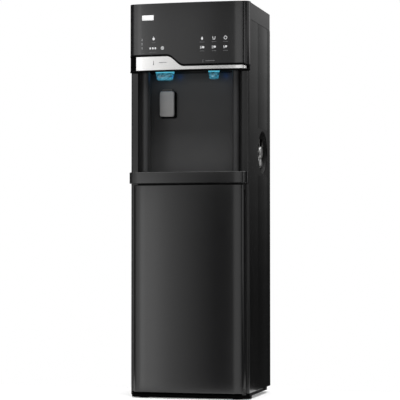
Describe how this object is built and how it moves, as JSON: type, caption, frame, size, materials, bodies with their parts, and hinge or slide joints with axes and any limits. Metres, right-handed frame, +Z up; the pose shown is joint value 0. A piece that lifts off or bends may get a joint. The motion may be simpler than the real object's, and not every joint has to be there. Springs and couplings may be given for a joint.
{
  "type": "floor-standing water dispenser",
  "caption": "Tall floor-standing hot and cold water dispenser with a touch header, lit outlets over a cup niche, paddle, drip tray, filter door and side fan.",
  "frame": {"origin": "middle of the footprint, on the floor", "axes": "+Z up along the cabinet, front faces -Y, +X to the right of someone facing the front"},
  "size_m": [0.329, 0.308, 1.05],
  "materials": {
    "black_gloss_plastic": "gloss, tinted black",
    "black_satin_plastic": "satin black",
    "black_matt_plastic": "matt black",
    "painted_steel": "satin dark charcoal paint",
    "silver_trim": "satin metallised",
    "grey_plastic": "mid grey, satin",
    "white_plastic": "plain white",
    "light_guide": "lit cyan light guide",
    "clear_blue": "clear, blue tinted",
    "stainless": "brushed",
    "aluminium": "satin",
    "rubber": "matt",
    "circuit_board": "green solder resist",
    "foam": "insulating foam shell",
    "tubing": "translucent white tube",
    "blue_plastic": "blue",
    "red_plastic": "red"
  },
  "bodies": {
    "cabinet": {"base_tray": "black_matt_plastic", "cold_hose": "tubing", "cold_light_guide": "light_guide", "cold_outlet_housing": "clear_blue", "cold_spout": "stainless", "cold_tank": "foam", "cold_valve": "black_matt_plastic", "door_catch": "black_matt_plastic", "door_hinge_lower": "stainless", "door_hinge_upper": "stainless", "fan_motor": "stainless", "fan_shroud": "black_matt_plastic", "filter_bracket": "stainless", "foot_front_left": "rubber", "foot_front_right": "rubber", "foot_rear_left": "rubber", "foot_rear_right": "rubber", "header_ceiling": "black_matt_plastic", "header_fascia": "black_gloss_plastic", "heat_sink": "aluminium", "hot_hose": "tubing", "hot_light_guide": "light_guide", "hot_outlet_housing": "clear_blue", "hot_spout": "stainless", "hot_tank": "stainless", "hot_valve": "black_matt_plastic", "main_switch_frame": "black_matt_plastic", "mains_inlet": "black_matt_plastic", "mid_deck": "black_matt_plastic", "name_plate": "white_plastic", "niche_liner": "black_satin_plastic", "paddle_bracket": "black_satin_plastic", "paddle_microswitch": "black_matt_plastic", "paddle_pin": "stainless", "power_board": "circuit_board", "rear_panel": "painted_steel", "side_panel_left": "painted_steel", "side_panel_right": "painted_steel", "silver_trim": "silver_trim", "thermoelectric_module": "white_plastic", "top_cover": "black_satin_plastic", "touch_board": "circuit_board", "trim_bead": "black_satin_plastic", "upper_rear_cover": "black_matt_plastic", "water_inlet": "white_plastic", "water_pump": "black_matt_plastic"},
    "paddle": {"paddle_pad": "grey_plastic", "paddle_arm": "black_satin_plastic"},
    "door": {"door_panel": "black_satin_plastic", "door_liner": "black_matt_plastic", "door_strike": "stainless"},
    "drip_tray": {"drip_tray": "black_satin_plastic"},
    "drip_grille": {"drip_grille": "black_matt_plastic"},
    "fan": {"fan_rotor": "aluminium"},
    "switch": {"main_switch_rocker": "red_plastic"},
    "cold_drain": {"cold_drain_cap": "blue_plastic"},
    "hot_drain": {"hot_drain_cap": "red_plastic"},
    "filter_1": {"filter_cartridge_1": "white_plastic"},
    "filter_2": {"filter_cartridge_2": "white_plastic"},
    "filter_3": {"filter_cartridge_3": "white_plastic"}
  },
  "joints": [
    {"name": "paddle_hinge", "type": "hinge", "parent": "cabinet", "child": "paddle", "pos_m": [-0.0793, -0.0515, 0.816], "axis": [-1, 0, 0], "range_deg": [0, 3], "stiffness_Nm_per_rad": 0.6, "springref_deg": -3.44},
    {"name": "door_hinge", "type": "hinge", "parent": "cabinet", "child": "door", "pos_m": [0.1488, -0.128, 0.3], "axis": [0, 0, 1], "range_deg": [0, 95]},
    {"name": "drip_tray_slide", "type": "slide", "parent": "cabinet", "child": "drip_tray", "axis": [0, -1, 0], "range_m": [0, 0.11]},
    {"name": "drip_grille_lift", "type": "slide", "parent": "drip_tray", "child": "drip_grille", "axis": [0, 0, 1], "range_m": [0, 0.03]},
    {"name": "fan_spin", "type": "hinge", "parent": "cabinet", "child": "fan", "pos_m": [0.14, 0.05, 0.6575], "axis": [1, 0, 0], "continuous": true},
    {"name": "main_switch_rock", "type": "hinge", "parent": "cabinet", "child": "switch", "pos_m": [-0.06, 0.1476, 0.091], "axis": [1, 0, 0], "range_deg": [-16, 0]},
    {"name": "cold_drain_turn", "type": "hinge", "parent": "cabinet", "child": "cold_drain", "pos_m": [0.04, 0.15, 0.22], "axis": [0, 1, 0], "range_deg": [0, 90]},
    {"name": "hot_drain_turn", "type": "hinge", "parent": "cabinet", "child": "hot_drain", "pos_m": [0.09, 0.15, 0.22], "axis": [0, 1, 0], "range_deg": [0, 90]},
    {"name": "filter_1_turn", "type": "hinge", "parent": "cabinet", "child": "filter_1", "pos_m": [-0.08, -0.074, 0.38], "axis": [0, 0, 1], "range_deg": [0, 90]},
    {"name": "filter_2_turn", "type": "hinge", "parent": "cabinet", "child": "filter_2", "pos_m": [0, -0.074, 0.38], "axis": [0, 0, 1], "range_deg": [0, 90]},
    {"name": "filter_3_turn", "type": "hinge", "parent": "cabinet", "child": "filter_3", "pos_m": [0.08, -0.074, 0.38], "axis": [0, 0, 1], "range_deg": [0, 90]}
  ]
}
